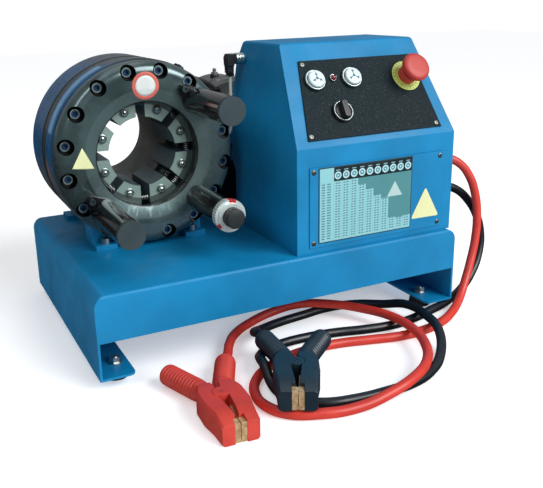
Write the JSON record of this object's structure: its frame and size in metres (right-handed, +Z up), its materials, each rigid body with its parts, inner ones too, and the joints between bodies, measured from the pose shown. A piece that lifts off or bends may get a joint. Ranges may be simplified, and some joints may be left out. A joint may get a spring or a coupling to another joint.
{
  "type": "hose crimping machine",
  "caption": "Bench hose crimping machine: a round hydraulic crimping head and a control box with a sloping panel on a folded sheet base, with battery cables and clamps.",
  "frame": {"origin": "middle of the bounding box of the machine without its battery cables, at the floor under the rubber feet", "axes": "+X to the right along the base, +Y to the rear along the crimping head's axis, +Z up"},
  "size_m": [0.6272, 0.5709, 0.3905],
  "materials": {
    "blue_paint": "satin powder coat, fine orange peel",
    "barrel_paint": "gloss",
    "graphite_paint": "semi-gloss, fine grain",
    "black_paint": "satin",
    "black_oxide": "oiled black oxide",
    "zinc_steel": "bright zinc plating",
    "ground_steel": "ground",
    "spring_steel": "bright drawn wire",
    "cylinder_paint": "gloss black",
    "cap_plastic": "matt moulded",
    "ring_aluminium": "satin anodised",
    "chart_print": "satin printed sheet",
    "panel_laminate": "pebbled",
    "chrome_ring": "bright",
    "white_lens": "frosted white",
    "red_lens": "clear red",
    "black_plastic": "moulded",
    "yellow_plastic": "moulded",
    "red_button": "moulded",
    "foot_rubber": "moulded",
    "pipe_black": "smooth cover",
    "white_cable": "smooth jacket",
    "red_jacket": "smooth jacket",
    "black_jacket": "smooth jacket",
    "red_clamp_plastic": "moulded, copper jaws inside",
    "black_clamp_plastic": "moulded, copper jaws inside"
  },
  "bodies": {
    "root": {"base_tray": "blue_paint", "rubber_feet": "foot_rubber", "mounting_bolts": "zinc_steel", "head_feet": "black_paint", "box_hood": "blue_paint", "lower_cover": "blue_paint", "panel_screws": "zinc_steel", "chart_plate": "chart_print", "control_plate": "panel_laminate", "button_bezels": "chrome_ring", "pilot_light": "red_lens", "selector_body": "chrome_ring", "stop_body": "yellow_plastic", "contactor": "black_paint", "sensor_socket": "ring_aluminium", "sensor_plug": "black_plastic", "sensor_cable": "white_cable", "limit_switch": "black_plastic", "cable_glands": "black_plastic", "motor": "black_paint", "pump_block": "ring_aluminium", "oil_tank": "black_paint", "pack_bracket": "black_paint", "pressure_pipe": "pipe_black", "barrel": "barrel_paint", "front_flange": "graphite_paint", "head_screws": "black_oxide", "rear_housing": "black_paint", "spring_housings": "cylinder_paint", "housing_caps": "cap_plastic", "return_springs": "spring_steel", "micrometer_body": "cylinder_paint", "scale_ring": "ring_aluminium", "red_cable": "red_jacket", "black_cable": "black_jacket", "red_clamp_fixed": "red_clamp_plastic", "black_clamp_fixed": "black_clamp_plastic", "clamp_pins": "zinc_steel"},
    "piston": {"ring_piston": "ground_steel", "piston_rods": "ground_steel"},
    "die_1": {"die_1": "ground_steel", "die_springs_1": "spring_steel"},
    "die_2": {"die_2": "ground_steel"},
    "die_3": {"die_3": "ground_steel", "die_springs_3": "spring_steel"},
    "die_4": {"die_4": "ground_steel"},
    "die_5": {"die_5": "ground_steel", "die_springs_5": "spring_steel"},
    "die_6": {"die_6": "ground_steel"},
    "die_7": {"die_7": "ground_steel", "die_springs_7": "spring_steel"},
    "die_8": {"die_8": "ground_steel"},
    "open_button": {"open_button": "white_lens"},
    "close_button": {"close_button": "white_lens"},
    "selector_knob": {"selector_knob": "black_plastic"},
    "stop_mushroom": {"stop_mushroom": "red_button"},
    "micrometer_knob": {"micrometer_knob": "cap_plastic"},
    "red_clamp_moving": {"red_clamp_moving": "red_clamp_plastic"},
    "black_clamp_moving": {"black_clamp_moving": "black_clamp_plastic"}
  },
  "joints": [
    {"name": "piston_slide", "type": "slide", "parent": "root", "child": "piston", "axis": [0, -1, 0], "range_m": [0, 0.028], "stiffness_N_per_m": 3000, "deforming": ["return_springs"]},
    {"name": "die_1_slide", "type": "slide", "parent": "root", "child": "die_1", "axis": [-0.2547, -0.9613, -0.1055], "range_m": [0, 0.02913], "deforming": ["die_springs_1"]},
    {"name": "die_2_slide", "type": "slide", "parent": "root", "child": "die_2", "axis": [-0.1055, -0.9613, -0.2547], "range_m": [0, 0.02913]},
    {"name": "die_3_slide", "type": "slide", "parent": "root", "child": "die_3", "axis": [0.1055, -0.9613, -0.2547], "range_m": [0, 0.02913], "deforming": ["die_springs_3"]},
    {"name": "die_4_slide", "type": "slide", "parent": "root", "child": "die_4", "axis": [0.2547, -0.9613, -0.1055], "range_m": [0, 0.02913]},
    {"name": "die_5_slide", "type": "slide", "parent": "root", "child": "die_5", "axis": [0.2547, -0.9613, 0.1055], "range_m": [0, 0.02913], "deforming": ["die_springs_5"]},
    {"name": "die_6_slide", "type": "slide", "parent": "root", "child": "die_6", "axis": [0.1055, -0.9613, 0.2547], "range_m": [0, 0.02913]},
    {"name": "die_7_slide", "type": "slide", "parent": "root", "child": "die_7", "axis": [-0.1055, -0.9613, 0.2547], "range_m": [0, 0.02913], "deforming": ["die_springs_7"]},
    {"name": "die_8_slide", "type": "slide", "parent": "root", "child": "die_8", "axis": [-0.2547, -0.9613, 0.1055], "range_m": [0, 0.02913]},
    {"name": "open_button_press", "type": "slide", "parent": "root", "child": "open_button", "axis": [0, 0.8432, -0.5375], "range_m": [0, 0.004], "stiffness_N_per_m": 300},
    {"name": "close_button_press", "type": "slide", "parent": "root", "child": "close_button", "axis": [0, 0.8432, -0.5375], "range_m": [0, 0.004], "stiffness_N_per_m": 300},
    {"name": "selector_turn", "type": "hinge", "parent": "root", "child": "selector_knob", "pos_m": [0.088, -0.16285, 0.3021], "axis": [0, -0.8432, 0.5375], "range_deg": [-45, 45]},
    {"name": "stop_press", "type": "slide", "parent": "root", "child": "stop_mushroom", "axis": [0, 0.8432, -0.5375], "range_m": [0, 0.005]},
    {"name": "micrometer_turn", "type": "hinge", "parent": "root", "child": "micrometer_knob", "pos_m": [-0.07112, -0.16, 0.18282], "axis": [0, -1, 0], "continuous": true},
    {"name": "red_clamp_squeeze", "type": "hinge", "parent": "root", "child": "red_clamp_moving", "pos_m": [-0.156, -0.3015, 0.015], "axis": [0, 0, -1], "range_deg": [0, 20], "stiffness_Nm_per_rad": 2},
    {"name": "black_clamp_squeeze", "type": "hinge", "parent": "root", "child": "black_clamp_moving", "pos_m": [-0.06, -0.3015, 0.029], "axis": [0, 0, 1], "range_deg": [0, 20], "stiffness_Nm_per_rad": 2}
  ],
  "couplings": [
    {"joint": "die_1_slide", "follows": "piston_slide", "ratio": 1.0403},
    {"joint": "die_2_slide", "follows": "piston_slide", "ratio": 1.0403},
    {"joint": "die_3_slide", "follows": "piston_slide", "ratio": 1.0403},
    {"joint": "die_4_slide", "follows": "piston_slide", "ratio": 1.0403},
    {"joint": "die_5_slide", "follows": "piston_slide", "ratio": 1.0403},
    {"joint": "die_6_slide", "follows": "piston_slide", "ratio": 1.0403},
    {"joint": "die_7_slide", "follows": "piston_slide", "ratio": 1.0403},
    {"joint": "die_8_slide", "follows": "piston_slide", "ratio": 1.0403}
  ]
}
